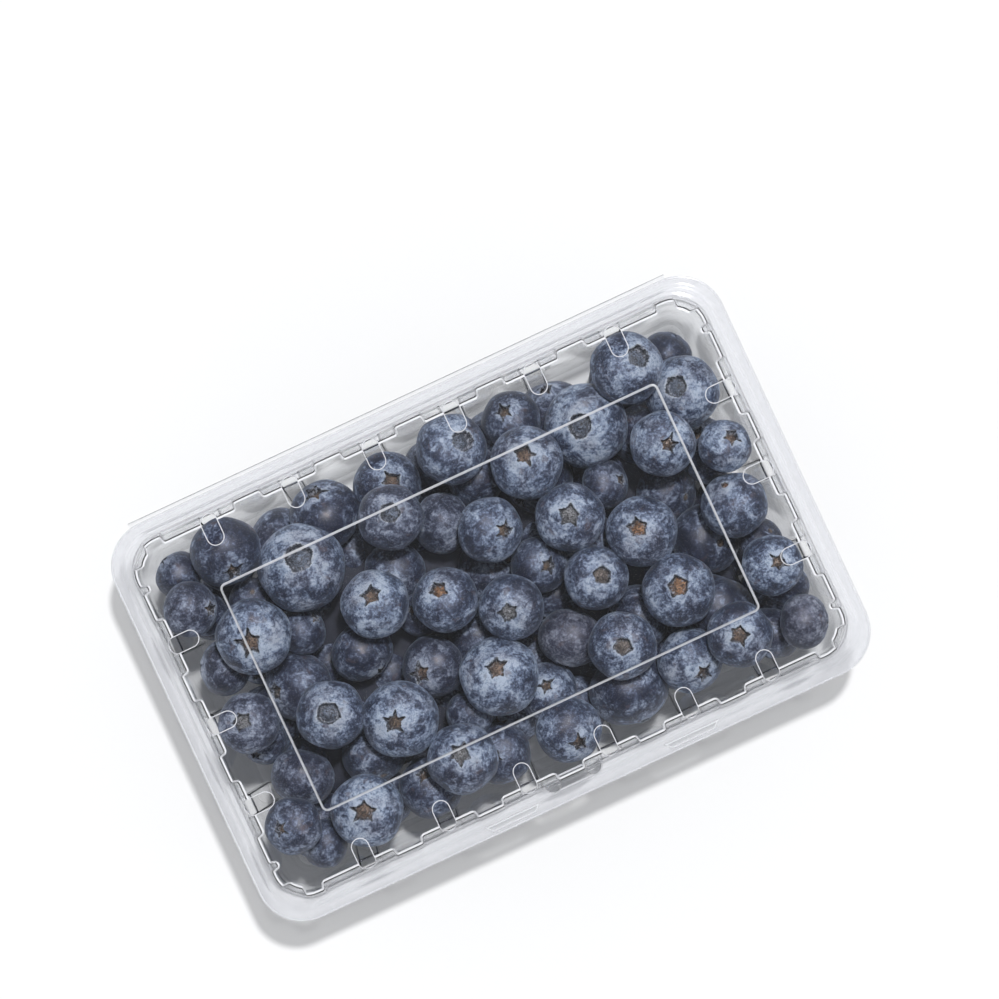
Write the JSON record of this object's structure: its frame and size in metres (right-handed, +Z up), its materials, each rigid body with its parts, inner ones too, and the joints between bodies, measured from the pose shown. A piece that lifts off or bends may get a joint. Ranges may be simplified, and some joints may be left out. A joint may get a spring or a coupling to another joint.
{
  "type": "punnet of blueberries",
  "caption": "Clear clamshell punnet with a hinged, vented lid, filled with blueberries.",
  "frame": {"origin": "under the middle of the punnet, on the surface that it stands on", "axes": "+X along the punnet's length, +Y towards the hinge, +Z up"},
  "size_m": [0.15, 0.0982, 0.04],
  "materials": {
    "tray_plastic": "clear formed sheet, glossy",
    "lid_plastic": "clear formed sheet, glossy",
    "berry_skin": "dark blue fruit skin with a mottled waxy bloom"
  },
  "bodies": {
    "tray": {"tray": "tray_plastic", "blueberries": "berry_skin"},
    "lid": {"lid": "lid_plastic"}
  },
  "joints": [
    {"name": "lid_hinge", "type": "hinge", "parent": "tray", "child": "lid", "pos_m": [0, 0.04875, 0.02985], "axis": [-1, 0, 0], "range_deg": [0, 180]}
  ]
}
